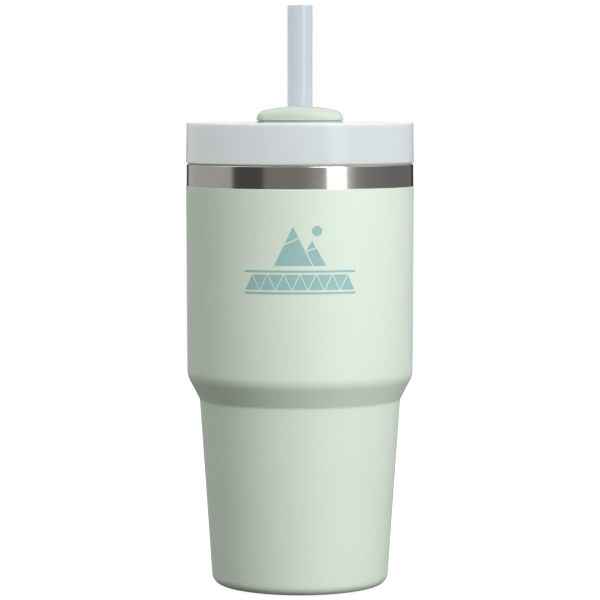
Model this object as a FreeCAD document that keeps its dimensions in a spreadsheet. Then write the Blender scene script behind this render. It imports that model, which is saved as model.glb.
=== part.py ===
"""Insulated tumbler with a screw-on lid, a rotating cover and a straw.

The cup is a double-walled vacuum flask: a steel outer shell under a powder coat, a steel liner and a pressed
bottom. The lid is two clear mouldings over a silicone gasket. A domed cover turns on the lid's deck and carries
the straw. The origin is on the cup's axis where the foot ring rests, +Z is up, and the drink opening is on the
-Y side. Sizes are millimetres.
"""

import FreeCAD, Part
import math
import os
import re
import Sketcher

OUTPUT_FOLDER = "parts"

DIMENSIONS = {
    # cup, outside of the powder coat
    "coat_thick": 0.15,
    "coat_top": 154.4,
    "coat_bottom": 0.3,
    "coat_top_radius": 43.98,
    "foot_radius": 34.05,
    "foot_fillet": 3.8,
    "neck_radius": 38.95,
    "neck_level": 72.0,
    "neck_fillet": 2.2,
    "shoulder_radius": 43.72,
    "shoulder_level": 81.15,
    "shoulder_fillet": 8.5,
    # how far a wall's corner moves in and up for each millimetre that the wall is set in
    "neck_draw": 0.98,
    "neck_climb": 0.28,
    "shoulder_climb": 0.245,
    # steel shell and its pressed bottom
    "shell_wall": 0.6,
    "rim_radius": 43.75,
    "rim_level": 162.9,
    "rim_round": 0.45,
    "lip_radius": 28.95,
    "lip_level": 3.4,
    "pan_level": 3.2,
    "pan_wall": 0.6,
    "pan_flange_level": 0.8,
    "dimple_radius": 6.5,
    "dimple_depth": 1.1,
    "pump_hole_radius": 0.8,
    "bead_radius": 3.2,
    "bead_drop": 1.0,
    "bead_round": 0.9,
    "plate_level": 1.4,
    "plate_wall": 0.5,
    "plate_round": 0.8,
    # liner and what is sealed behind it
    "wall_total": 4.6,
    "liner_wall": 0.5,
    "liner_floor": 9.0,
    "liner_floor_fillet": 6.0,
    "liner_seam": 18.0,
    "mouth_radius": 40.8,
    "mouth_step_low": 148.0,
    "mouth_step_high": 150.2,
    "flare_low": 158.8,
    "flare_high": 162.2,
    "foil_thick": 0.1,
    "foil_gap": 0.1,
    "foil_top": 66.0,
    "getter_radius": 4.0,
    "getter_thick": 1.3,
    "getter_cup_wall": 0.3,
    "getter_offset": 17.0,
    # screw thread between the lid and the mouth
    "thread_lead": 9.0,
    "thread_root": 1.5,
    "thread_crest": 0.7,
    "thread_sink": 0.3,
    "lid_thread_height": 1.2,
    "lid_thread_level": 151.9,
    "lid_thread_rise": 4.5,
    "cup_thread_height": 0.9,
    "cup_thread_level": 153.2,
    "cup_thread_rise": 2.2,
    # gasket
    "gasket_bore": 39.3,
    "gasket_radius": 43.2,
    "gasket_neck": 42.3,
    "gasket_lip": 41.3,
    "gasket_top": 163.4,
    "gasket_flat": 162.95,
    "gasket_shoulder": 162.2,
    "gasket_bottom": 160.2,
    "gasket_round": 0.4,
    # lid
    "lid_bottom": 163.45,
    "lid_low_radius": 44.0,
    "lid_top_radius": 43.73,
    "lid_top": 178.85,
    "lid_top_round": 0.3,
    "lid_low_round": 0.5,
    "ring_inner_radius": 41.8,
    "ring_cap": 2.2,
    "well_radius": 38.6,
    "well_edge": 178.5,
    "well_round": 0.35,
    "well_lap_radius": 40.4,
    "well_lap_level": 172.0,
    "flange_thick": 2.0,
    "skirt_radius": 39.2,
    "skirt_inner_radius": 37.2,
    "skirt_bottom": 150.6,
    "skirt_round": 0.4,
    "deck_top": 175.0,
    "deck_thick": 2.2,
    "deck_fillet": 1.5,
    "hub_radius": 4.5,
    "hub_bottom": 169.8,
    "pivot_hole_radius": 2.6,
    "sip_width": 17.0,
    "sip_depth": 7.0,
    "sip_offset": 28.0,
    "sip_corner": 3.0,
    "vent_radius": 1.2,
    "vent_offset": 28.0,
    "slot_clearance": 0.4,
    # rotating cover
    "cover_width": 32.6,
    "cover_reach": 36.6,
    "cover_corner": 5.0,
    "cover_bottom": 179.8,
    "cover_top": 185.2,
    "crown_across": 62.0,
    "crown_along": 900.0,
    "cover_edge_round": 3.0,
    "cover_foot_round": 0.25,
    "cover_wall": 1.8,
    "tray_bottom": 175.7,
    "tray_top": 180.4,
    "tray_wall": 1.4,
    "tray_floor": 1.6,
    "tray_flange_low": 177.9,
    "tray_flange_top": 179.3,
    "tray_flange_inset": 0.05,
    "tray_neck_inset": 0.7,
    "pivot_radius": 2.5,
    "pivot_bottom": 167.6,
    "pivot_head_radius": 3.7,
    "pivot_head": 1.2,
    "pivot_head_round": 0.4,
    "pivot_tip_round": 0.3,
    "clip_radius": 4.4,
    "clip_bottom": 168.0,
    "clip_top": 169.6,
    "clip_edge": 0.8,
    "clip_round": 0.2,
    "seal_level": 171.5,
    "seal_groove_radius": 1.9,
    "seal_groove_width": 0.8,
    "seal_section": 0.65,
    "pad_gap": 0.1,
    "pad_margin": 1.3,
    "grommet_wall": 0.9,
    "grommet_flange": 1.3,
    "grommet_flange_thick": 0.8,
    "grommet_sink": 0.5,
    # straw
    "straw_radius": 4.85,
    "straw_wall": 0.85,
    "straw_offset": 9.8,
    "straw_bottom": 9.8,
    "straw_top": 224.25,
    "straw_tip_round": 0.35,
    "straw_fit": 0.05,
}

# The cup's taper: outside radius at a level below the neck.
TAPER = "foot_radius + (neck_radius - foot_radius) * ({level}) / neck_level"


def bound(expression):
    """Point every dimension named in an expression at the sheet."""

    def place(match):
        word = match.group(0)
        return "dims." + word if word in DIMENSIONS else word

    return re.sub(r"[a-z_]+", place, str(expression))


def write_sheet(doc):
    """Put every driving dimension in one spreadsheet cell with its own alias."""
    sheet = doc.addObject("Spreadsheet::Sheet", "dims")
    for row, (alias, number) in enumerate(DIMENSIONS.items(), start=1):
        sheet.set(f"A{row}", alias)
        sheet.set(f"B{row}", str(number))
        sheet.setAlias(f"B{row}", alias)
    doc.recompute()
    return sheet


def new_body(doc, label):
    """Start a body named after its sub-part."""
    body = doc.addObject("PartDesign::Body", label)
    body.Label = label
    return body


def new_sketch(body, name, role, level=None):
    """Lay a sketch on one of the body's own origin planes, raised to a level when one is given."""
    sketch = body.newObject("Sketcher::SketchObject", name)
    plane = [item for item in body.Origin.OriginFeatures if item.Role == role][0]
    sketch.AttachmentSupport = (plane, [""])
    sketch.MapMode = "FlatFace"
    if level is not None:
        sketch.setExpression("AttachmentOffset.Base.z", bound(level))
    return sketch


def outline(body, name, role, corners, level=None):
    """Draw a closed outline whose corners are each held by two dimensions from the origin."""
    sketch = new_sketch(body, name, role, level)
    count = len(corners)
    turn = 2 * math.pi / count
    start = [FreeCAD.Vector(50 + 9 * math.cos(i * turn), 9 * math.sin(i * turn), 0) for i in range(count)]
    for i in range(count):
        sketch.addGeometry(Part.LineSegment(start[i], start[(i + 1) % count]), False)
    rules = [Sketcher.Constraint("Coincident", i, 2, (i + 1) % count, 1) for i in range(count)]
    for i in range(count):
        rules.append(Sketcher.Constraint("DistanceX", -1, 1, i, 1, start[i].x))
        rules.append(Sketcher.Constraint("DistanceY", -1, 1, i, 1, start[i].y))
    sketch.addConstraint(rules)
    for i, corner in enumerate(corners):
        sketch.setExpression(f"Constraints[{count + 2 * i}]", bound(corner[0]))
        sketch.setExpression(f"Constraints[{count + 2 * i + 1}]", bound(corner[1]))
    body.Document.recompute()
    return sketch


def circle(body, name, role, centre, radius, level=None):
    """Draw one circle held by its radius and its centre's two dimensions."""
    sketch = new_sketch(body, name, role, level)
    sketch.addGeometry(Part.Circle(FreeCAD.Vector(5, 5, 0), FreeCAD.Vector(0, 0, 1), 2), False)
    sketch.addConstraint(Sketcher.Constraint("DistanceX", -1, 1, 0, 3, 5))
    sketch.addConstraint(Sketcher.Constraint("DistanceY", -1, 1, 0, 3, 5))
    sketch.addConstraint(Sketcher.Constraint("Radius", 0, 2))
    for i, expression in enumerate((centre[0], centre[1], radius)):
        sketch.setExpression(f"Constraints[{i}]", bound(expression))
    body.Document.recompute()
    return sketch


def spin(body, name, sketch, kind="PartDesign::Revolution", angle=360, midplane=False):
    """Turn an outline about the body's vertical axis, adding or cutting."""
    feature = body.newObject(kind, name)
    feature.Profile = sketch
    feature.ReferenceAxis = (sketch, ["V_Axis"])
    feature.Angle = angle
    feature.Midplane = midplane
    sketch.Visibility = False
    body.Document.recompute()
    return feature


def raise_up(body, name, sketch, length):
    """Pad an outline upward."""
    feature = body.newObject("PartDesign::Pad", name)
    feature.Profile = sketch
    feature.setExpression("Length", bound(length))
    sketch.Visibility = False
    body.Document.recompute()
    return feature


def cut_up(body, name, sketch, length):
    """Pocket an outline upward from its own level."""
    feature = body.newObject("PartDesign::Pocket", name)
    feature.Profile = sketch
    feature.Reversed = True
    feature.setExpression("Length", bound(length))
    sketch.Visibility = False
    body.Document.recompute()
    return feature


def round_edges(body, name, edges, base, radius):
    """Round the named edges of a feature."""
    feature = body.newObject("PartDesign::Fillet", name)
    feature.Base = (base, edges)
    feature.Radius = 0.1
    feature.setExpression("Radius", bound(radius))
    body.Document.recompute()
    return feature


def hoop_name(shape, radius, level):
    """Find the full circle at a radius and level."""
    for index, edge in enumerate(shape.Edges, start=1):
        if edge.Curve.TypeId != "Part::GeomCircle":
            continue
        near_level = abs(edge.Curve.Center.z - level) < 0.005
        if near_level and abs(edge.Curve.Radius - radius) < 0.005:
            return f"Edge{index}"
    raise ValueError(f"no hoop at radius {radius}, level {level}")


def turned(doc, label, corners, place=None):
    """Turn an outline into a body. A corner's third entry, where it has one, is the radius that rounds it."""
    body = new_body(doc, label)
    if place is not None:
        body.setExpression("Placement.Base.y", bound(place))
    sketch = outline(body, label + "_outline", "XZ_Plane", corners)
    feature = spin(body, label + "_turned", sketch)
    for i, corner in enumerate(corners):
        if len(corner) < 3:
            continue
        point = sketch.Geometry[i].StartPoint
        edge = hoop_name(feature.Shape, point.x, point.y)
        feature = round_edges(body, f"{label}_round_{i}", [edge], feature, corner[2])
    return body


def add_threads(body, label, wall, side, height, level, rise):
    """Wind three equal ridges round a wall; side is + for an outside thread and - for an inside one."""
    crest = f"{wall} {side} {height}"
    root = f"{wall} {'-' if side == '+' else '+'} thread_sink"
    corners = [
        (root, f"{level} - thread_root / 2"),
        (crest, f"{level} - thread_crest / 2"),
        (crest, f"{level} + thread_crest / 2"),
        (root, f"{level} + thread_root / 2"),
    ]
    sketch = outline(body, label + "_ridge", "XZ_Plane", corners)
    ridge = body.newObject("PartDesign::AdditiveHelix", label + "_thread")
    ridge.Profile = sketch
    ridge.ReferenceAxis = (sketch, ["V_Axis"])
    ridge.Mode = 0
    ridge.setExpression("Pitch", bound("thread_lead"))
    ridge.setExpression("Height", bound(rise))
    sketch.Visibility = False
    body.Document.recompute()
    starts = body.newObject("PartDesign::PolarPattern", label + "_starts")
    starts.Originals = [ridge]
    starts.Axis = (sketch, ["V_Axis"])
    starts.Angle = 360
    starts.Occurrences = 3
    body.Tip = starts
    body.Document.recompute()
    return starts


def wall_corners(inset):
    """The neck and shoulder corners of a wall set in from the coat's outside."""
    neck = (
        f"neck_radius - neck_draw * ({inset})",
        f"neck_level + neck_climb * ({inset})",
        f"neck_fillet + {inset}",
    )
    shoulder = (
        f"shoulder_radius - ({inset})",
        f"shoulder_level + shoulder_climb * ({inset})",
        f"shoulder_fillet - ({inset})",
    )
    return neck, shoulder


# ---- cup ----


def outer_shell(doc):
    """Steel shell: bare at the rim, coated below, its lower edge turned in and up to hold the bottom."""
    neck_out, shoulder_out = wall_corners("coat_thick")
    neck_in, shoulder_in = wall_corners("coat_thick + shell_wall")
    corners = [
        ("lip_radius", "0"),
        ("foot_radius - coat_thick", "0", "foot_fillet + coat_thick"),
        neck_out,
        shoulder_out,
        ("coat_top_radius - coat_thick", "coat_top"),
        ("rim_radius", "rim_level", "rim_round"),
        ("rim_radius - shell_wall", "rim_level"),
        ("coat_top_radius - coat_thick - shell_wall", "coat_top"),
        shoulder_in,
        neck_in,
        ("foot_radius - coat_thick - shell_wall", "shell_wall", "foot_fillet + coat_thick - shell_wall"),
        ("lip_radius + shell_wall", "shell_wall"),
        ("lip_radius + shell_wall", "lip_level"),
        ("lip_radius", "lip_level"),
    ]
    return turned(doc, "outer_shell", corners)


def powder_coat(doc):
    """Thin coat over the shell, from the paint line down to the foot ring."""
    neck_out, shoulder_out = wall_corners("0")
    outside = turned(
        doc,
        "coat_outside",
        [
            ("0", "0"),
            ("foot_radius", "0", "foot_fillet"),
            neck_out,
            shoulder_out,
            ("coat_top_radius", "coat_top", "coat_thick / 2"),
            ("0", "coat_top"),
        ],
    )
    trim = outline(
        outside,
        "coat_trim",
        "XZ_Plane",
        [("0", "-1"), ("foot_radius + 2", "-1"), ("foot_radius + 2", "coat_bottom"), ("0", "coat_bottom")],
    )
    spin(outside, "coat_trimmed", trim, "PartDesign::Groove")
    neck_in, shoulder_in = wall_corners("coat_thick")
    inside = turned(
        doc,
        "coat_inside",
        [
            ("0", "0"),
            ("foot_radius - coat_thick", "0", "foot_fillet + coat_thick"),
            neck_in,
            shoulder_in,
            ("coat_top_radius - coat_thick", "coat_top"),
            ("coat_top_radius - coat_thick", "coat_top + 1"),
            ("0", "coat_top + 1"),
        ],
    )
    coat = doc.addObject("Part::Cut", "powder_coat")
    coat.Label = "powder_coat"
    coat.Base = outside
    coat.Tool = inside
    doc.recompute()
    return coat


def liner_tube(doc):
    """Drawn liner: follows the cup's outside, opens to the threaded mouth and flares out to the rim."""
    back = "wall_total - liner_wall"
    neck_out, shoulder_out = wall_corners(back)
    neck_in, shoulder_in = wall_corners("wall_total")
    seam_radius = TAPER.format(level="liner_seam")
    corners = [
        (f"{seam_radius} - ({back})", "liner_seam"),
        neck_out,
        shoulder_out,
        (f"coat_top_radius - ({back})", "mouth_step_low"),
        ("mouth_radius + liner_wall", "mouth_step_high"),
        ("mouth_radius + liner_wall", "flare_low"),
        ("rim_radius - shell_wall", "flare_high"),
        ("rim_radius - shell_wall", "rim_level"),
        ("rim_radius - shell_wall - liner_wall", "rim_level", "rim_round"),
        ("rim_radius - shell_wall - liner_wall", "flare_high"),
        ("mouth_radius", "flare_low"),
        ("mouth_radius", "mouth_step_high"),
        ("coat_top_radius - wall_total", "mouth_step_low"),
        shoulder_in,
        neck_in,
        (f"{seam_radius} - wall_total", "liner_seam"),
    ]
    body = turned(doc, "liner_tube", corners)
    add_threads(body, "cup", "mouth_radius", "-", "cup_thread_height", "cup_thread_level", "cup_thread_rise")
    return body


def liner_bottom(doc):
    """Pressed cup that closes the liner, joined to the tube at the seam."""
    inside = TAPER.format(level="liner_floor") + " - wall_total"
    outside = TAPER.format(level="liner_floor - liner_wall") + " - wall_total + liner_wall"
    seam = TAPER.format(level="liner_seam") + " - wall_total"
    corners = [
        ("0", "liner_floor - liner_wall"),
        (outside, "liner_floor - liner_wall", "liner_floor_fillet + liner_wall"),
        (seam + " + liner_wall", "liner_seam"),
        (seam, "liner_seam"),
        (inside, "liner_floor", "liner_floor_fillet"),
        ("0", "liner_floor"),
    ]
    return turned(doc, "liner_bottom", corners)


def copper_foil(doc):
    """Reflecting foil wrapped round the tapered part of the liner, in the vacuum."""
    low = TAPER.format(level="liner_seam") + " - wall_total + liner_wall + foil_gap"
    high = TAPER.format(level="foil_top") + " - wall_total + liner_wall + foil_gap"
    corners = [
        (low, "liner_seam"),
        (low + " + foil_thick", "liner_seam"),
        (high + " + foil_thick", "foil_top"),
        (high, "foil_top"),
    ]
    return turned(doc, "copper_foil", corners)


def vacuum_base(doc):
    """Pressed pan that closes the shell, with a raised dimple round the pump hole."""
    corners = [
        ("lip_radius", "pan_flange_level"),
        ("lip_radius", "pan_level + pan_wall"),
        ("dimple_radius + pan_wall + 1", "pan_level + pan_wall"),
        ("dimple_radius + pan_wall", "pan_level + pan_wall + dimple_depth"),
        ("pump_hole_radius", "pan_level + pan_wall + dimple_depth"),
        ("pump_hole_radius", "pan_level + dimple_depth"),
        ("dimple_radius", "pan_level + dimple_depth"),
        ("dimple_radius + 1", "pan_level"),
        ("lip_radius - pan_wall", "pan_level"),
        ("lip_radius - pan_wall", "pan_flange_level"),
    ]
    return turned(doc, "vacuum_base", corners)


def seal_bead(doc):
    """Drop of solder glass that plugs the pump hole from outside."""
    corners = [
        ("0", "pan_level + dimple_depth - bead_drop"),
        ("bead_radius", "pan_level + dimple_depth - bead_drop", "bead_round"),
        ("bead_radius", "pan_level + dimple_depth"),
        ("pump_hole_radius", "pan_level + dimple_depth"),
        ("pump_hole_radius", "pan_level + dimple_depth + pan_wall"),
        ("0", "pan_level + dimple_depth + pan_wall"),
    ]
    return turned(doc, "seal_bead", corners)


def getter_cup(doc):
    """Small tin cup welded to the pan; it holds the getter."""
    floor = "pan_level + pan_wall"
    corners = [
        ("0", floor),
        ("getter_radius + getter_cup_wall", floor),
        ("getter_radius + getter_cup_wall", f"{floor} + getter_cup_wall + getter_thick"),
        ("getter_radius", f"{floor} + getter_cup_wall + getter_thick"),
        ("getter_radius", f"{floor} + getter_cup_wall"),
        ("0", f"{floor} + getter_cup_wall"),
    ]
    return turned(doc, "getter_cup", corners, "getter_offset")


def getter_pellet(doc):
    """Pressed tablet that soaks up stray gas in the vacuum."""
    floor = "pan_level + pan_wall + getter_cup_wall"
    corners = [
        ("0", floor),
        ("getter_radius", floor),
        ("getter_radius", f"{floor} + getter_thick", "getter_thick / 4"),
        ("0", f"{floor} + getter_thick"),
    ]
    return turned(doc, "getter_pellet", corners, "getter_offset")


def base_plate(doc):
    """Shallow steel cap pressed into the pan's flange, set up inside the foot ring."""
    edge = "lip_radius - pan_wall"
    corners = [
        ("0", "plate_level"),
        (edge, "plate_level", "plate_round"),
        (edge, "pan_level"),
        (f"{edge} - plate_wall", "pan_level"),
        (f"{edge} - plate_wall", "plate_level + plate_wall", "plate_round - plate_wall"),
        ("0", "plate_level + plate_wall"),
    ]
    return turned(doc, "base_plate", corners)


# ---- gasket and lid ----


def lid_gasket(doc):
    """Silicone ring: a wedge in the flared mouth and a thin flange over the rim."""
    corners = [
        ("gasket_bore", "gasket_bottom"),
        ("gasket_lip", "gasket_bottom", "gasket_round"),
        ("gasket_neck", "gasket_shoulder"),
        ("gasket_neck", "gasket_flat"),
        ("gasket_radius", "gasket_flat"),
        ("gasket_radius", "gasket_top"),
        ("gasket_bore", "gasket_top"),
    ]
    return turned(doc, "lid_gasket", corners)


def lid_ring(doc):
    """Clear outer ring of the lid: drafted wall, flat top and the wall of the well."""
    corners = [
        ("ring_inner_radius", "lid_bottom"),
        ("lid_low_radius", "lid_bottom", "lid_low_round"),
        ("lid_top_radius", "lid_top", "lid_top_round"),
        ("well_radius", "well_edge", "well_round"),
        ("well_radius", "deck_top"),
        ("skirt_radius", "deck_top"),
        ("skirt_radius", "well_lap_level"),
        ("well_lap_radius", "well_lap_level"),
        ("well_lap_radius", "lid_top - ring_cap"),
        ("ring_inner_radius", "lid_top - ring_cap"),
    ]
    return turned(doc, "lid_ring", corners)


def lid_plug(doc):
    """Clear plug: threaded skirt, flange, deck with the pivot hub, straw slot, drink opening and vent."""
    deck_under = "deck_top - deck_thick"
    corners = [
        ("pivot_hole_radius", "hub_bottom"),
        ("hub_radius", "hub_bottom"),
        ("hub_radius", deck_under),
        ("skirt_inner_radius", deck_under, "deck_fillet"),
        ("skirt_inner_radius", "skirt_bottom"),
        ("skirt_radius", "skirt_bottom", "skirt_round"),
        ("skirt_radius", "lid_bottom"),
        ("ring_inner_radius", "lid_bottom"),
        ("ring_inner_radius", "lid_bottom + flange_thick"),
        ("skirt_radius", "lid_bottom + flange_thick"),
        ("skirt_radius", "deck_top"),
        ("pivot_hole_radius", "deck_top"),
    ]
    body = turned(doc, "lid_plug", corners)
    cut_straw_slot(body)
    cut_sip_opening(body)
    vent = circle(body, "vent_circle", "XY_Plane", ("0", "vent_offset"), "vent_radius", deck_under + " - 1")
    cut_up(body, "vent_hole", vent, "deck_thick + 2")
    add_threads(body, "lid", "skirt_radius", "+", "lid_thread_height", "lid_thread_level", "lid_thread_rise")
    return body


def cut_straw_slot(body):
    """Half-circle slot in the deck for the straw to follow the cover through its turn."""
    half = "straw_radius + slot_clearance"
    low = "deck_top - deck_thick - 0.5"
    high = "deck_top + 0.5"
    sweep = outline(
        body,
        "slot_section",
        "YZ_Plane",
        [
            (f"straw_offset - ({half})", low),
            (f"straw_offset + {half}", low),
            (f"straw_offset + {half}", high),
            (f"straw_offset - ({half})", high),
        ],
    )
    spin(body, "straw_slot", sweep, "PartDesign::Groove", 180, True)
    for side, sign in (("left", "-"), ("right", "")):
        end = circle(body, f"slot_{side}_circle", "XY_Plane", (f"{sign}straw_offset", "0"), half, low)
        cut_up(body, f"slot_{side}_end", end, "deck_thick + 1")


def cut_sip_opening(body):
    """Rounded drink opening through the deck near its front edge."""
    half = "sip_width / 2"
    near = "-(sip_offset + sip_depth / 2)"
    far = "-(sip_offset - sip_depth / 2)"
    corners = [(f"-{half}", near), (half, near), (half, far), (f"-{half}", far)]
    sketch = outline(body, "sip_outline", "XY_Plane", corners, "deck_top - deck_thick - 1")
    pocket = cut_up(body, "sip_opening", sketch, "deck_thick + 2")
    edges = upright_edges(pocket.Shape, sketch)
    round_edges(body, "sip_corners", edges, pocket, "sip_corner")


def upright_edges(shape, sketch):
    """Name the vertical edges that stand on the corners of an outline."""
    names = []
    for segment in sketch.Geometry:
        corner = segment.StartPoint
        for index, edge in enumerate(shape.Edges, start=1):
            if edge.Curve.TypeId != "Part::GeomLine":
                continue
            ends = [vertex.Point for vertex in edge.Vertexes]
            if all(abs(p.x - corner.x) < 0.005 and abs(p.y - corner.y) < 0.005 for p in ends):
                names.append(f"Edge{index}")
    return names


# ---- rotating cover ----


def pill_plan(body, name, inset, level):
    """The cover's plan, set in by a wall: straight sides and ends that follow the lid's circle."""
    sketch = new_sketch(body, name, "XY_Plane", level)
    half = DIMENSIONS["cover_width"] / 2
    reach = DIMENSIONS["cover_reach"]
    turn = math.asin(half / reach)
    depth = reach * math.cos(turn)
    ring = Part.Circle(FreeCAD.Vector(0, 0, 0), FreeCAD.Vector(0, 0, 1), reach)
    front = -math.pi / 2
    back = math.pi / 2
    right = [FreeCAD.Vector(half, -depth, 0), FreeCAD.Vector(half, depth, 0)]
    left = [FreeCAD.Vector(-half, depth, 0), FreeCAD.Vector(-half, -depth, 0)]
    sketch.addGeometry(Part.ArcOfCircle(ring, front - turn, front + turn), False)
    sketch.addGeometry(Part.LineSegment(*right), False)
    sketch.addGeometry(Part.ArcOfCircle(ring, back - turn, back + turn), False)
    sketch.addGeometry(Part.LineSegment(*left), False)
    rules = [Sketcher.Constraint("Coincident", i, 2, (i + 1) % 4, 1) for i in range(4)]
    rules += [Sketcher.Constraint("Coincident", arc, 3, -1, 1) for arc in (0, 2)]
    rules += [Sketcher.Constraint("Vertical", line) for line in (1, 3)]
    rules += [Sketcher.Constraint("Radius", arc, reach) for arc in (0, 2)]
    rules.append(Sketcher.Constraint("DistanceX", -1, 1, 1, 1, half))
    rules.append(Sketcher.Constraint("DistanceX", 3, 1, -1, 1, half))
    sketch.addConstraint(rules)
    for index in (8, 9):
        sketch.setExpression(f"Constraints[{index}]", bound(f"cover_reach - ({inset})"))
    for index in (10, 11):
        sketch.setExpression(f"Constraints[{index}]", bound(f"cover_width / 2 - ({inset})"))
    body.Document.recompute()
    return sketch


def pill(doc, label, inset, low, high):
    """Block on the cover's plan, set in by a wall, with its four upright corners rounded."""
    body = new_body(doc, label)
    sketch = pill_plan(body, label + "_plan", inset, low)
    pad = raise_up(body, label + "_block", sketch, f"{high} - ({low})")
    edges = upright_edges(pad.Shape, sketch)
    round_edges(body, label + "_corners", edges, pad, f"cover_corner - ({inset})")
    return body


def crown(doc, label, inset):
    """Barrel-shaped solid whose top is the cover's double curve, set in by a wall."""
    barrel = doc.addObject("Part::Torus", label)
    barrel.setExpression("Radius1", bound("crown_along - crown_across"))
    barrel.setExpression("Radius2", bound(f"crown_across - ({inset})"))
    barrel.Placement = FreeCAD.Placement(
        FreeCAD.Vector(0, 0, 0),
        FreeCAD.Rotation(FreeCAD.Vector(0, 1, 0), 90),
    )
    barrel.setExpression("Placement.Base.z", bound("cover_top - crown_along"))
    doc.recompute()
    return barrel


def crowned_pill(doc, label, inset, low):
    """Pill block trimmed to the double-curved crown."""
    block = pill(doc, label + "_pill", inset, low, "cover_top + 1")
    trimmed = doc.addObject("Part::Common", label)
    trimmed.Base = block
    trimmed.Tool = crown(doc, label + "_barrel", inset)
    doc.recompute()
    return trimmed


def rotating_cover(doc):
    """Domed cover: crowned, hollow below, with a hole and a seat for the straw's grommet."""
    outside = crowned_pill(doc, "cover_outside", "0", "cover_bottom")
    rounded = doc.addObject("Part::Fillet", "cover_rounded")
    rounded.Base = outside
    floor = min(vertex.Z for vertex in outside.Shape.Vertexes)
    rims = []
    for index, edge in enumerate(outside.Shape.Edges, start=1):
        heights = [vertex.Z for vertex in edge.Vertexes]
        if max(heights) < floor + 0.01:
            radius = DIMENSIONS["cover_foot_round"]
        elif min(heights) > floor + 0.01:
            radius = DIMENSIONS["cover_edge_round"]
        else:
            continue
        rims.append((index, radius, radius))
    rounded.Edges = rims
    doc.recompute()
    hollow = crowned_pill(doc, "cover_hollow", "cover_wall", "cover_bottom - 1")
    shell = doc.addObject("Part::Cut", "cover_shell")
    shell.Base = rounded
    shell.Tool = hollow
    hole_radius = "straw_radius + straw_fit + grommet_wall"
    hole = upright_cylinder(doc, "cover_hole", hole_radius, "cover_bottom", "10")
    seat_radius = f"{hole_radius} + grommet_flange"
    seat_level = "cover_top - grommet_sink - grommet_flange_thick"
    seat = upright_cylinder(doc, "cover_seat", seat_radius, seat_level, "5")
    openings = doc.addObject("Part::MultiFuse", "cover_openings")
    openings.Shapes = [hole, seat]
    cover = doc.addObject("Part::Cut", "rotating_cover")
    cover.Label = "rotating_cover"
    cover.Base = shell
    cover.Tool = openings
    doc.recompute()
    return cover


def upright_cylinder(doc, label, radius, low, height, offset="straw_offset"):
    """Cylinder standing on the straw's axis, or at another offset from the cup's axis."""
    cylinder = doc.addObject("Part::Cylinder", label)
    cylinder.setExpression("Radius", bound(radius))
    cylinder.setExpression("Height", bound(height))
    cylinder.setExpression("Placement.Base.y", bound(offset))
    cylinder.setExpression("Placement.Base.z", bound(low))
    return cylinder


def cover_tray(doc):
    """Tray that closes the cover from below: flanged to its plan, with a neck that leaves a narrow groove."""
    core = pill(doc, "tray_core", "cover_wall", "tray_bottom", "tray_top")
    flange = pill(doc, "tray_flange", "tray_flange_inset", "tray_flange_low", "tray_flange_top")
    neck = pill(doc, "tray_neck", "tray_neck_inset", "tray_flange_low", "cover_bottom")
    block = doc.addObject("Part::MultiFuse", "tray_block")
    block.Shapes = [core, flange, neck]
    hollow = pill(doc, "tray_hollow", "cover_wall + tray_wall", "tray_bottom + tray_floor", "tray_top + 1")
    under = "tray_bottom - 1"
    pin_hole = upright_cylinder(doc, "tray_pin_hole", "pivot_radius", under, "tray_floor + 2", "0")
    sleeve = "straw_radius + straw_fit + grommet_wall"
    straw_hole = upright_cylinder(doc, "tray_straw_hole", sleeve, under, "tray_floor + 2")
    openings = doc.addObject("Part::MultiFuse", "tray_openings")
    openings.Shapes = [hollow, pin_hole, straw_hole]
    tray = doc.addObject("Part::Cut", "cover_tray")
    tray.Label = "cover_tray"
    tray.Base = block
    tray.Tool = openings
    doc.recompute()
    return tray


def straw_grommet(doc):
    """Soft sleeve that grips the straw, flanged into the cover's seat."""
    bore = "straw_radius + straw_fit"
    sleeve = f"{bore} + grommet_wall"
    flange = f"{sleeve} + grommet_flange"
    top = "cover_top - grommet_sink"
    corners = [
        (bore, "tray_bottom"),
        (sleeve, "tray_bottom"),
        (sleeve, f"{top} - grommet_flange_thick"),
        (flange, f"{top} - grommet_flange_thick"),
        (flange, top, "grommet_flange_thick / 4"),
        (bore, top, "grommet_flange_thick / 4"),
    ]
    return turned(doc, "straw_grommet", corners, "straw_offset")


def pivot_pin(doc):
    """Headed pin on which the cover turns, grooved for its seal."""
    head = "tray_bottom + tray_floor"
    corners = [
        ("0", "pivot_bottom"),
        ("pivot_radius", "pivot_bottom", "pivot_tip_round"),
        ("pivot_radius", "seal_level - seal_groove_width / 2"),
        ("seal_groove_radius", "seal_level - seal_groove_width / 2"),
        ("seal_groove_radius", "seal_level + seal_groove_width / 2"),
        ("pivot_radius", "seal_level + seal_groove_width / 2"),
        ("pivot_radius", head),
        ("pivot_head_radius", head),
        ("pivot_head_radius", f"{head} + pivot_head", "pivot_head_round"),
        ("0", f"{head} + pivot_head"),
    ]
    return turned(doc, "pivot_pin", corners)


def pivot_seal(doc):
    """O-ring in the pin's groove."""
    body = new_body(doc, "pivot_seal")
    centre = ("seal_groove_radius + seal_section / 2", "seal_level")
    section = circle(body, "seal_section_circle", "XZ_Plane", centre, "seal_section / 2")
    spin(body, "seal_ring", section)
    return body


def pivot_clip(doc):
    """Push-on washer that keeps the pin in the hub."""
    corners = [
        ("pivot_radius", "clip_bottom"),
        ("clip_radius", "clip_top - clip_edge"),
        ("clip_radius", "clip_top", "clip_round"),
        ("pivot_radius", "clip_top"),
    ]
    return turned(doc, "pivot_clip", corners)


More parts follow.
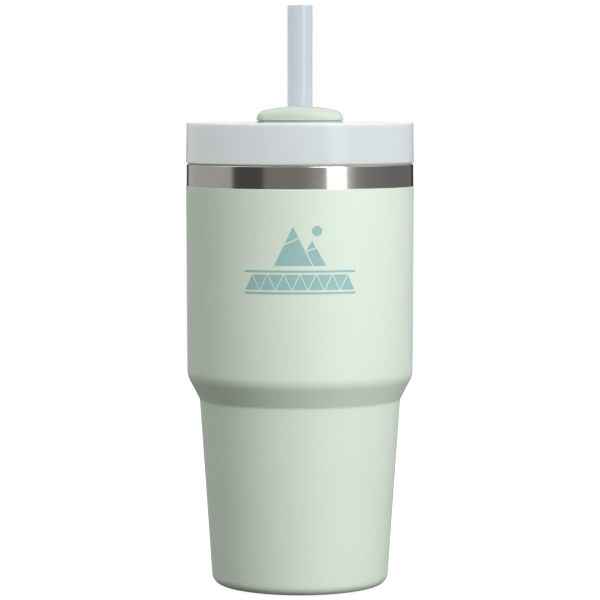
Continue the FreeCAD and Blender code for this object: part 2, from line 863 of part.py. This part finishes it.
def sip_pad(doc):
    """Soft pad under the tray that closes the drink opening at rest."""
    body = new_body(doc, "sip_pad")
    half = "(sip_width / 2 + pad_margin)"
    near = "-(sip_offset + sip_depth / 2 + pad_margin)"
    far = "-(sip_offset - sip_depth / 2 - pad_margin)"
    corners = [(f"-{half}", near), (half, near), (half, far), (f"-{half}", far)]
    plan = outline(body, "pad_plan", "XY_Plane", corners, "deck_top + pad_gap")
    pad = raise_up(body, "pad_block", plan, "tray_bottom - deck_top - pad_gap")
    edges = upright_edges(pad.Shape, plan)
    round_edges(body, "pad_corners", edges, pad, "sip_corner + pad_margin")
    return body


def straw(doc):
    """Straight clear straw standing just clear of the cup's floor."""
    inner = "straw_radius - straw_wall"
    corners = [
        (inner, "straw_bottom", "straw_tip_round"),
        ("straw_radius", "straw_bottom", "straw_tip_round"),
        ("straw_radius", "straw_top", "straw_tip_round"),
        (inner, "straw_top", "straw_tip_round"),
    ]
    return turned(doc, "straw", corners, "straw_offset")


SUB_PARTS = (
    outer_shell,
    powder_coat,
    liner_tube,
    liner_bottom,
    copper_foil,
    vacuum_base,
    seal_bead,
    getter_cup,
    getter_pellet,
    base_plate,
    lid_gasket,
    lid_ring,
    lid_plug,
    rotating_cover,
    cover_tray,
    straw_grommet,
    pivot_pin,
    pivot_seal,
    pivot_clip,
    sip_pad,
    straw,
)


def check(doc):
    """Stop on any feature that did not recompute."""
    for item in doc.Objects:
        if "Invalid" in item.State or "Error" in item.State:
            raise RuntimeError(f"{item.Name} is {item.State}")


def export(node):
    """Check one sub-part's solid and write it."""
    shape = node.Shape
    if shape.isNull() or not shape.isValid():
        raise RuntimeError(f"{node.Label} has no valid shape")
    if len(shape.Solids) != 1:
        raise RuntimeError(f"{node.Label} has {len(shape.Solids)} solids")
    shape.exportStep(os.path.join(OUTPUT_FOLDER, node.Label + ".step"))
    box = shape.optimalBoundingBox()
    print(f"{node.Label:16s} {shape.Volume:10.1f} mm3 z {box.ZMin:7.2f} to {box.ZMax:7.2f} r {box.XMax:6.2f}")


def main():
    """Build every sub-part in one document and write one file each."""
    doc = FreeCAD.newDocument("tumbler")
    write_sheet(doc)
    nodes = [make(doc) for make in SUB_PARTS]
    doc.recompute()
    check(doc)
    os.makedirs(OUTPUT_FOLDER, exist_ok=True)
    for node in nodes:
        export(node)


main()
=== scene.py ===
import math

import bmesh
import bpy
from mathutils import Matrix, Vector


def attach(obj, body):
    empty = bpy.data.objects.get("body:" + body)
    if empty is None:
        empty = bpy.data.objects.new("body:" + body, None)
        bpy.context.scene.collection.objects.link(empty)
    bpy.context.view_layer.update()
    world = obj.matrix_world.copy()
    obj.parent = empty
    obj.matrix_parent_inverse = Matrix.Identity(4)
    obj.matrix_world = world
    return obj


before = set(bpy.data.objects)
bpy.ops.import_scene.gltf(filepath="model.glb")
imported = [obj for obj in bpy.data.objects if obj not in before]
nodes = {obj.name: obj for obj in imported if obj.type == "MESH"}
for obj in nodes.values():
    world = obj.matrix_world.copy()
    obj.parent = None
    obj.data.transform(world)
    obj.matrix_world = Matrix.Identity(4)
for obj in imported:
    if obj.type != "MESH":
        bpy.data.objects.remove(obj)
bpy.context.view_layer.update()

MM = 0.001


# ---- colours ----


def srgb(red, green, blue):
    """Linear colour from 0-255 display values."""
    out = []
    for value in (red, green, blue):
        c = value / 255
        out.append(c / 12.92 if c <= 0.04045 else ((c + 0.055) / 1.055) ** 2.4)
    return (*out, 1.0)


def darker(colour, share):
    """The same colour at a share of its brightness."""
    return tuple(c * share for c in colour[:3]) + (1.0,)


WHITE = (1.0, 1.0, 1.0, 1.0)
COAT_PALE = srgb(223, 237, 223)
COAT_DEEP = srgb(217, 233, 217)
COAT_SPECK = srgb(240, 246, 240)
MINT_PLASTIC = srgb(195, 208, 195)
TEAL = srgb(157, 198, 196)
GASKET_GREY = srgb(190, 186, 174)
CLEAR_SILICONE = srgb(214, 219, 218)
STEEL = (0.62, 0.60, 0.57, 1.0)
SHEET_STEEL = (0.60, 0.60, 0.59, 1.0)
PIN_STEEL = (0.68, 0.68, 0.68, 1.0)
COPPER = (0.76, 0.42, 0.28, 1.0)
SOLDER_GLASS = (0.03, 0.04, 0.035, 1.0)
GETTER_POWDER = (0.08, 0.08, 0.085, 1.0)
LID_PLASTIC = (0.41, 0.44, 0.45, 1.0)
# Colour of the lid's painted glow: emitted light that stands in for light carried through the milky plastic.
LID_GLOW_COLOUR = (0.96, 1.0, 1.01, 1.0)
STRAW_PLASTIC = srgb(166, 174, 178)
# Colour of the straw's painted glow: emitted light that stands in for light carried through the milky
# plastic.
STRAW_GLOW_COLOUR = (0.93, 1.0, 1.06, 1.0)


# ---- node helpers ----


class Graph:
    """Small wrapper that adds nodes to a tree and links their inputs."""

    def __init__(self, tree):
        self.tree = tree
        self.tree.nodes.clear()

    def add(self, kind, inputs=None, **settings):
        node = self.tree.nodes.new(kind)
        for name, value in settings.items():
            setattr(node, name, value)
        for key, value in (inputs or {}).items():
            self.feed(node.inputs[key], value)
        return node

    def feed(self, socket, value):
        if isinstance(value, bpy.types.NodeSocket):
            self.tree.links.new(value, socket)
        elif isinstance(value, bpy.types.Node):
            self.tree.links.new(value.outputs[0], socket)
        else:
            socket.default_value = value

    def math(self, operation, *values):
        node = self.add("ShaderNodeMath", operation=operation)
        for socket, value in zip(node.inputs, values):
            self.feed(socket, value)
        return node.outputs[0]

    def spread(self, value, low, high, out_low=0.0, out_high=1.0, smooth=False):
        node = self.add("ShaderNodeMapRange")
        node.interpolation_type = "SMOOTHSTEP" if smooth else "LINEAR"
        for index, item in enumerate((value, low, high, out_low, out_high)):
            self.feed(node.inputs[index], item)
        return node.outputs[0]

    def ramp(self, factor, stops):
        node = self.add("ShaderNodeValToRGB", {0: factor})
        elements = node.color_ramp.elements
        while len(elements) > 1:
            elements.remove(elements[-1])
        elements[0].position, elements[0].color = stops[0]
        for position, colour in stops[1:]:
            elements.new(position).color = colour
        return node.outputs[0]

    def blend(self, factor, a, b):
        return self.add("ShaderNodeMix", {"Factor": factor, 6: a, 7: b}, data_type="RGBA").outputs[2]

    def noise(self, vector, scale, detail, roughness):
        inputs = {"Vector": vector, "Scale": scale, "Detail": detail, "Roughness": roughness}
        return self.add("ShaderNodeTexNoise", inputs).outputs["Fac"]

    def bump(self, height, distance, strength, under=None):
        node = self.add("ShaderNodeBump", {"Height": height, "Distance": distance, "Strength": strength})
        if under is not None:
            self.feed(node.inputs["Normal"], under)
        return node.outputs[0]

    def stretched(self, point, scale):
        return self.add("ShaderNodeMapping", {"Vector": point, "Scale": scale}).outputs[0]


def new_material(name):
    """Material, its graph, its wired shader and the object coordinates, in metres."""
    material = bpy.data.materials.new(name)
    material.use_nodes = True
    graph = Graph(material.node_tree)
    shader = graph.add("ShaderNodeBsdfPrincipled")
    graph.add("ShaderNodeOutputMaterial", {"Surface": shader})
    point = graph.add("ShaderNodeTexCoord").outputs["Object"]
    return material, graph, shader, point


def set_shader(shader, **values):
    """Set plain shader values; an underscore in a name stands for a space."""
    for name, value in values.items():
        shader.inputs[name.replace("_", " ")].default_value = value


# ---- materials ----


def powder_coat():
    """Matt mint coat: fine orange peel, faint tone drift and grain."""
    material, g, s, point = new_material("powder_coat")
    grain = g.noise(point, scale=2600, detail=2.0, roughness=0.6)
    peel = g.noise(point, scale=900, detail=2.0, roughness=0.5)
    drift = g.noise(point, scale=18, detail=2.0, roughness=0.5)
    base = g.blend(g.spread(drift, 0.3, 0.7), COAT_DEEP, COAT_PALE)
    speck = g.math("MULTIPLY", g.spread(grain, 0.35, 0.65), 0.10)
    g.feed(s.inputs["Base Color"], g.blend(speck, base, COAT_SPECK))
    g.feed(s.inputs["Roughness"], g.spread(peel, 0.3, 0.7, 0.48, 0.58))
    set_shader(s, Specular_IOR_Level=0.70)
    fine = g.bump(grain, distance=0.00004, strength=0.40)
    g.feed(s.inputs["Normal"], g.bump(peel, distance=0.00012, strength=0.55, under=fine))
    return material


BRUSH_REACH = 0.004


def brushed(name, colour, low, high, anisotropy, bump):
    """Steel brushed round the vertical axis: noise that changes fast upward and slowly round the wall.

    BRUSH_REACH is how many metres of noise one radian round the wall passes through."""
    material, g, s, point = new_material(name)
    x, y, z = g.add("ShaderNodeSeparateXYZ", {0: point}).outputs
    turn = g.math("MULTIPLY", g.math("ARCTAN2", x, y), BRUSH_REACH)
    unrolled = g.add("ShaderNodeCombineXYZ", {0: turn, 1: 0.0, 2: z}).outputs[0]
    fine = g.noise(unrolled, scale=16000, detail=3.0, roughness=0.7)
    middle = g.noise(g.stretched(unrolled, (0.25, 1, 1)), scale=5200, detail=2.0, roughness=0.6)
    coarse = g.noise(g.stretched(unrolled, (0.5, 1, 1)), scale=2600, detail=2.0, roughness=0.6)
    lines = g.math("ADD", g.math("MULTIPLY", fine, 0.4), g.math("MULTIPLY", middle, 0.25))
    lines = g.math("ADD", lines, g.math("MULTIPLY", coarse, 0.35))
    g.feed(s.inputs["Base Color"], g.blend(g.spread(lines, 0.35, 0.65), darker(colour, 0.80), colour))
    g.feed(s.inputs["Roughness"], g.spread(lines, 0.3, 0.7, low, high))
    set_shader(s, Metallic=1.0, Anisotropic=anisotropy, Anisotropic_Rotation=0.25)
    tangent = g.add("ShaderNodeTangent", direction_type="RADIAL", axis="Z")
    g.feed(s.inputs["Tangent"], tangent)
    g.feed(s.inputs["Normal"], g.bump(lines, distance=0.00001, strength=bump))
    return material


def satin_steel(name, colour, low, high):
    """Plain satin sheet metal with faint cloudy polish."""
    material, g, s, point = new_material(name)
    cloud = g.noise(point, scale=60, detail=3.0, roughness=0.6)
    grain = g.noise(g.stretched(point, (1, 1, 6)), scale=1800, detail=2.0, roughness=0.5)
    g.feed(s.inputs["Base Color"], g.blend(cloud, darker(colour, 0.86), colour))
    g.feed(s.inputs["Roughness"], g.spread(grain, 0.3, 0.7, low, high))
    set_shader(s, Metallic=1.0)
    g.feed(s.inputs["Normal"], g.bump(grain, distance=0.00002, strength=0.2))
    return material


def moulded(name, colour, roughness, bump=0.15, sheen=0.0):
    """Smooth moulded plastic, glass or silicone with a fine mould texture."""
    material, g, s, point = new_material(name)
    grain = g.noise(point, scale=1500, detail=2.0, roughness=0.5)
    drift = g.noise(point, scale=35, detail=2.0, roughness=0.5)
    g.feed(s.inputs["Base Color"], g.blend(drift, darker(colour, 0.94), colour))
    g.feed(s.inputs["Roughness"], g.spread(grain, 0.3, 0.7, roughness - 0.05, roughness + 0.05))
    set_shader(s, Sheen_Weight=sheen)
    g.feed(s.inputs["Normal"], g.bump(grain, distance=0.00005, strength=bump))
    return material


def translucent(name, colour, clear, roughness, milk, coat=0.0, depth=0.004, glow=0.0, glow_colour=WHITE, gloss=0.5):
    """Milky clear plastic: part of the light passes through, part scatters.

    The glow is painted light: an emission, though the plastic is no lamp, that stands in for light carried
    round inside thick milky plastic."""
    material, g, s, point = new_material(name)
    cloud = g.noise(point, scale=40, detail=2.0, roughness=0.5)
    ripple = g.noise(point, scale=220, detail=2.0, roughness=0.5)
    g.feed(s.inputs["Base Color"], g.blend(cloud, darker(colour, 0.95), colour))
    g.feed(s.inputs["Roughness"], g.spread(ripple, 0.3, 0.7, roughness - 0.02, roughness + 0.02))
    set_shader(
        s, Transmission_Weight=clear, IOR=1.49, Specular_IOR_Level=gloss,
        Subsurface_Weight=milk, Subsurface_Scale=depth, Subsurface_Radius=(1.0, 1.0, 1.0),
        # The emission is a painted glow that stands in for light scattered inside the plastic.
        Coat_Weight=coat, Coat_Roughness=0.04, Emission_Color=glow_colour, Emission_Strength=glow,
    )
    g.feed(s.inputs["Normal"], g.bump(ripple, distance=0.00003, strength=0.2))
    return material


def print_ink():
    """Satin teal ink with a faint uneven lay."""
    material, g, s, point = new_material("print_ink")
    lay = g.noise(point, scale=700, detail=2.0, roughness=0.5)
    skin = g.noise(point, scale=900, detail=2.0, roughness=0.5)
    g.feed(s.inputs["Base Color"], g.blend(lay, darker(TEAL, 0.93), TEAL))
    g.feed(s.inputs["Roughness"], g.spread(lay, 0.3, 0.7, 0.40, 0.50))
    g.feed(s.inputs["Normal"], g.bump(skin, distance=0.00008, strength=0.25))
    return material


LOOKS = {
    "outer_shell": brushed("brushed_steel", STEEL, low=0.18, high=0.26, anisotropy=0.88, bump=0.12),
    "powder_coat": powder_coat(),
    "liner": brushed("liner_steel", SHEET_STEEL, low=0.26, high=0.40, anisotropy=0.5, bump=0.15),
    "pressed": satin_steel("pressed_steel", SHEET_STEEL, low=0.28, high=0.40),
    "pin": satin_steel("pin_steel", PIN_STEEL, low=0.16, high=0.26),
    "copper": satin_steel("copper_foil", COPPER, low=0.18, high=0.30),
    "bead": moulded("solder_glass", SOLDER_GLASS, roughness=0.12),
    "getter": moulded("getter_powder", GETTER_POWDER, roughness=0.75, bump=0.6),
    "gasket": moulded("gasket_silicone", GASKET_GREY, roughness=0.55, bump=0.25, sheen=0.2),
    "soft": translucent("clear_silicone", CLEAR_SILICONE, clear=0.25, roughness=0.5, milk=0.5),
    # The lid has a painted glow (emission 0.29) that brightens it evenly in place of light carried through
    # it.
    "lid": translucent(
        "lid_plastic", LID_PLASTIC, clear=0.0, roughness=0.30, milk=1.0,
        coat=0.25, depth=0.006, glow=0.29, glow_colour=LID_GLOW_COLOUR, gloss=0.1,
    ),
    "cover": moulded("mint_plastic", MINT_PLASTIC, roughness=0.50, bump=0.12),
    # The straw has a painted glow (emission 0.25) that brightens it in place of light carried through it.
    "straw": translucent(
        "straw_plastic", STRAW_PLASTIC, clear=0.45, roughness=0.22, milk=0.5,
        coat=0.1, depth=0.003, glow=0.25, glow_colour=STRAW_GLOW_COLOUR, gloss=0.15,
    ),
}

NODE_LOOKS = {
    "outer_shell": "outer_shell",
    "powder_coat": "powder_coat",
    "liner_tube": "liner",
    "liner_bottom": "liner",
    "copper_foil": "copper",
    "vacuum_base": "pressed",
    "seal_bead": "bead",
    "getter_cup": "pressed",
    "getter_pellet": "getter",
    "base_plate": "pressed",
    "lid_gasket": "gasket",
    "lid_ring": "lid",
    "lid_plug": "lid",
    "rotating_cover": "cover",
    "cover_tray": "cover",
    "straw_grommet": "soft",
    "pivot_pin": "pin",
    "pivot_seal": "gasket",
    "pivot_clip": "pin",
    "sip_pad": "soft",
    "straw": "straw",
}

for node_name, look in NODE_LOOKS.items():
    mesh = nodes[node_name].data
    mesh.materials.clear()
    mesh.materials.append(LOOKS[look])


# ---- printed mark: millimetres across the wall, from the middle of the front, and up ----

MARK_LIFT = 0.05
MARK_SINK = 0.08
WRAP_STEP = 0.7

SUN_CENTRE = (6.4, 139.0)
SUN_RADIUS = 1.9
SUN_STEPS = 48

PEAK_FOOT = 126.0
PEAK_GAP = 0.6
SNOW_GAP = 0.55
SNOW_SLANT = 0.22
TALL_APEX = (-2.6, 140.6)
TALL_SLOPE = 2.05
TALL_SNOW = 135.6
LOW_APEX = (4.5, 135.4)
LOW_SLOPE = 1.75
LOW_SNOW = 132.4

BORDER_HALF = 21.4
BORDER_COUNT = 13
RULE_LEVELS = (115.8, 123.9)
RULE_HALF = 0.4
TOOTH_UP = (117.0, 122.6)
TOOTH_DOWN = (122.7, 117.1)
TOOTH_INSET = 0.4

# The coat's upper wall is a slight cone between these two levels.
COAT_LOW_RADIUS = 43.72
COAT_LOW_LEVEL = 81.15
COAT_HIGH_RADIUS = 43.98
COAT_HIGH_LEVEL = 154.4


def wall_radius(level):
    """Outside radius of the coat's upper wall."""
    share = (level - COAT_LOW_LEVEL) / (COAT_HIGH_LEVEL - COAT_LOW_LEVEL)
    return COAT_LOW_RADIUS + share * (COAT_HIGH_RADIUS - COAT_LOW_RADIUS)


def disc(centre, radius):
    """Round outline."""
    turns = [2 * math.pi * i / SUN_STEPS for i in range(SUN_STEPS)]
    return [(centre[0] + radius * math.cos(t), centre[1] + radius * math.sin(t)) for t in turns]


def bar(level):
    """Long thin rule centred on a level."""
    low, high = level - RULE_HALF, level + RULE_HALF
    return [(-BORDER_HALF, low), (BORDER_HALF, low), (BORDER_HALF, high), (-BORDER_HALF, high)]


def right_of(outline, apex, slope):
    """Part of a convex outline that lies right of another mountain's right flank."""
    def beyond(point):
        return point[0] - (apex[0] + (apex[1] - point[1]) / slope + PEAK_GAP)

    kept = []
    for start, end in zip(outline, outline[1:] + outline[:1]):
        a, b = beyond(start), beyond(end)
        if a >= 0:
            kept.append(start)
        if a * b < 0:
            share = a / (a - b)
            kept.append((start[0] + share * (end[0] - start[0]), start[1] + share * (end[1] - start[1])))
    return kept


def peak(apex, slope, snow):
    """Mountain in two outlines, parted by a slanted snow line: the cap and the body under it."""
    across, top = apex

    def flank(side, level):
        """Point of the left (-1) or right (1) flank where a line that slants through level meets it."""
        drop = (top - level) / (1 + side * SNOW_SLANT)
        return across + side * drop / slope, top - drop

    lower = snow - SNOW_GAP
    half_foot = (top - PEAK_FOOT) / slope
    cap = [apex, flank(-1, snow), flank(1, snow)]
    body = [
        flank(-1, lower), (across - half_foot, PEAK_FOOT),
        (across + half_foot, PEAK_FOOT), flank(1, lower),
    ]
    return cap, body


def mark_shapes():
    """Outlines of a generic mark, all convex: sun, two peaks, and a zigzag border between two rules."""
    shapes = [disc(SUN_CENTRE, SUN_RADIUS)]
    shapes += peak(TALL_APEX, TALL_SLOPE, TALL_SNOW)
    low_peak = peak(LOW_APEX, LOW_SLOPE, LOW_SNOW)
    shapes += [right_of(outline, TALL_APEX, TALL_SLOPE) for outline in low_peak]
    shapes += [bar(level) for level in RULE_LEVELS]
    pitch = 2 * BORDER_HALF / (BORDER_COUNT + 1)
    half = pitch - TOOTH_INSET
    for i in range(BORDER_COUNT):
        centre = -BORDER_HALF + pitch * (i + 1)
        flat, point = TOOTH_UP if i % 2 == 0 else TOOTH_DOWN
        shapes.append([(centre - half, flat), (centre + half, flat), (centre, point)])
    return shapes


def wrapped(name, shapes, material):
    """Flat outlines wrapped on the coat, each one a thin closed layer sunk a little into it."""
    bm = bmesh.new()
    for shape in shapes:
        bm.faces.new([bm.verts.new((across, 0, up)) for across, up in shape])
    low = min(v.co.x for v in bm.verts)
    high = max(v.co.x for v in bm.verts)
    for i in range(1, int((high - low) / WRAP_STEP) + 1):
        whole = bm.verts[:] + bm.edges[:] + bm.faces[:]
        bmesh.ops.bisect_plane(bm, geom=whole, plane_co=(low + i * WRAP_STEP, 0, 0), plane_no=(1, 0, 0))
    grown = bmesh.ops.extrude_face_region(bm, geom=bm.faces[:])
    for item in grown["geom"]:
        if isinstance(item, bmesh.types.BMVert):
            item.co.y = 1.0
    bmesh.ops.triangulate(bm, faces=bm.faces[:])
    for vert in bm.verts:
        radius = wall_radius(vert.co.z)
        angle = vert.co.x / radius
        out = (radius + (MARK_LIFT if vert.co.y < 0.5 else -MARK_SINK)) * MM
        vert.co = Vector((out * math.sin(angle), -out * math.cos(angle), vert.co.z * MM))
    bmesh.ops.recalc_face_normals(bm, faces=bm.faces[:])
    layer = bpy.data.meshes.new(name)
    bm.to_mesh(layer)
    bm.free()
    layer.materials.append(material)
    piece = bpy.data.objects.new(name, layer)
    bpy.context.scene.collection.objects.link(piece)
    return piece


mark = wrapped("printed_mark", mark_shapes(), print_ink())
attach(mark, "cup")


# ---- floor, light and camera: metres and degrees ----

FLOOR_HALF = 1.0
FLOOR_DROP = 0.0003
FLOOR_SEEN = 0.93
FLOOR_LIT = (0.30, 0.30, 0.30, 1.0)
FLOOR_BOUNCE = (0.16, 0.16, 0.15, 1.0)

CAMERA_PLACE = (0.0, -1.050, 0.1848)
CAMERA_DIP = 4.064
CAMERA_LENS = 162.9
CAMERA_SENSOR = 36.0
CAMERA_NEAR = 0.01
LIGHT_AIM = (0.0, 0.0, 0.11)

# Tones of the surround: compass direction (0 is the front, positive to the right), brightness, warmth.
# At eye level: a pale wall on the left, dark flags, and a strip on the right with a bright edge.
LEVEL_TONES = (
    (-180, 0.62, 0), (-173, 0.62, 0), (-170, 0.02, 0), (-160, 0.02, 0),
    (-152, 0.56, 0.4), (-74, 0.60, 0.4), (-70, 0.03, 0), (-38, 0.03, 0),
    (-36, 0.27, 1), (8, 0.27, 1), (16, 0.16, 0), (44, 0.16, 0),
    (46, 0.95, 0), (60, 0.36, 0), (76, 0.26, 0), (120, 0.21, 0),
    (152, 0.20, 0), (159, 0.02, 0), (170, 0.02, 0), (173, 0.62, 0), (180, 0.62, 0),
)
# Above it: broad soft light, strongest behind on the left.
UPPER_TONES = (
    (-180, 0.9, 0), (-150, 3.6, 0), (-120, 3.0, 0), (-90, 2.2, 0), (-60, 1.9, 0), (-30, 1.0, 0),
    (0, 0.45, 0), (30, 0.56, 0), (60, 1.0, 0), (100, 1.6, 0), (150, 1.2, 0), (180, 0.9, 0),
)
ZENITH_TONE = 0.2
GROUND_TONE = 0.12
# Each change is spread between two heights of the direction, which run from -1, down, to 1, up.
UPPER_RISE = (0.45, 0.70)
ZENITH_RISE = (0.80, 0.90)
GROUND_FALL = (-0.25, -0.10)


def make_floor():
    """Plain pale floor that bounces little light."""
    h = FLOOR_HALF
    floor_mesh = bpy.data.meshes.new("floor")
    floor_mesh.from_pydata([(-h, -h, 0), (h, -h, 0), (h, h, 0), (-h, h, 0)], [], [(0, 1, 2, 3)])
    floor = bpy.data.objects.new("floor", floor_mesh)
    bpy.context.scene.collection.objects.link(floor)
    floor.location.z = -FLOOR_DROP
    material = bpy.data.materials.new("floor_white")
    material.use_nodes = True
    g = Graph(material.node_tree)
    path = g.add("ShaderNodeLightPath")
    glow = g.add("ShaderNodeEmission", {"Color": WHITE, "Strength": FLOOR_SEEN})
    lit = g.add("ShaderNodeBsdfDiffuse", {"Color": FLOOR_LIT})
    seen = g.add("ShaderNodeAddShader", {0: glow, 1: lit})
    bounce = g.add("ShaderNodeBsdfDiffuse", {"Color": FLOOR_BOUNCE})
    mix = g.add("ShaderNodeMixShader", {0: path.outputs["Is Camera Ray"], 1: bounce, 2: seen})
    g.add("ShaderNodeOutputMaterial", {"Surface": mix})
    floor_mesh.materials.append(material)


def grey(value, warm=0.0):
    """Environment tone; a warmth above 0 takes blue out."""
    return (value * (1 + 0.02 * warm), value, value * (1 - 0.08 * warm), 1.0)


def around(graph, azimuth, tones):
    """Tone by compass direction."""
    share = graph.spread(azimuth, -math.pi, math.pi)
    return graph.ramp(share, [((degrees + 180) / 360, grey(value, warm)) for degrees, value, warm in tones])


def make_world():
    """Soft studio surround, plain white to the camera."""
    world = bpy.data.worlds.new("studio")
    bpy.context.scene.world = world
    world.use_nodes = True
    g = Graph(world.node_tree)
    direction = g.add("ShaderNodeTexCoord").outputs["Generated"]
    right, back, height = g.add("ShaderNodeSeparateXYZ", {0: direction}).outputs
    azimuth = g.math("ARCTAN2", right, g.math("MULTIPLY", back, -1.0))
    is_upper = g.spread(height, *UPPER_RISE, smooth=True)
    is_zenith = g.spread(height, *ZENITH_RISE, smooth=True)
    is_ground = g.spread(height, *GROUND_FALL, 1.0, 0.0, smooth=True)
    light = g.blend(is_upper, around(g, azimuth, LEVEL_TONES), around(g, azimuth, UPPER_TONES))
    light = g.blend(is_zenith, light, grey(ZENITH_TONE))
    light = g.blend(is_ground, light, grey(GROUND_TONE))
    path = g.add("ShaderNodeLightPath")
    colour = g.blend(path.outputs["Is Camera Ray"], light, WHITE)
    studio = g.add("ShaderNodeBackground", {"Color": colour, "Strength": 1.0})
    g.add("ShaderNodeOutputWorld", {"Surface": studio})


def softbox(name, azimuth, elevation, distance, width, height, power):
    """Area light aimed at the middle of the object."""
    data = bpy.data.lights.new(name, "AREA")
    data.shape = "RECTANGLE"
    data.size = width
    data.size_y = height
    data.energy = power
    lamp = bpy.data.objects.new(name, data)
    bpy.context.scene.collection.objects.link(lamp)
    a, e = math.radians(azimuth), math.radians(elevation)
    offset = Vector((math.sin(a) * math.cos(e), -math.cos(a) * math.cos(e), math.sin(e))) * distance
    lamp.location = Vector(LIGHT_AIM) + offset
    lamp.rotation_euler = offset.to_track_quat("Z", "Y").to_euler()


def make_camera():
    """Nearly level view from the front, a little above the lid."""
    data = bpy.data.cameras.new("camera")
    data.lens = CAMERA_LENS
    data.sensor_width = CAMERA_SENSOR
    data.clip_start = CAMERA_NEAR
    camera = bpy.data.objects.new("camera", data)
    bpy.context.scene.collection.objects.link(camera)
    camera.location = CAMERA_PLACE
    camera.rotation_euler = (math.radians(90 - CAMERA_DIP), 0.0, 0.0)
    bpy.context.scene.camera = camera


make_floor()
make_world()
softbox("key_low", azimuth=36.8, elevation=9.0, distance=1.5, width=0.47, height=1.15, power=7.5)
softbox("key_high", azimuth=31.0, elevation=37.5, distance=1.5, width=0.80, height=0.40, power=13.0)
make_camera()
bpy.context.scene.view_settings.view_transform = "Standard"
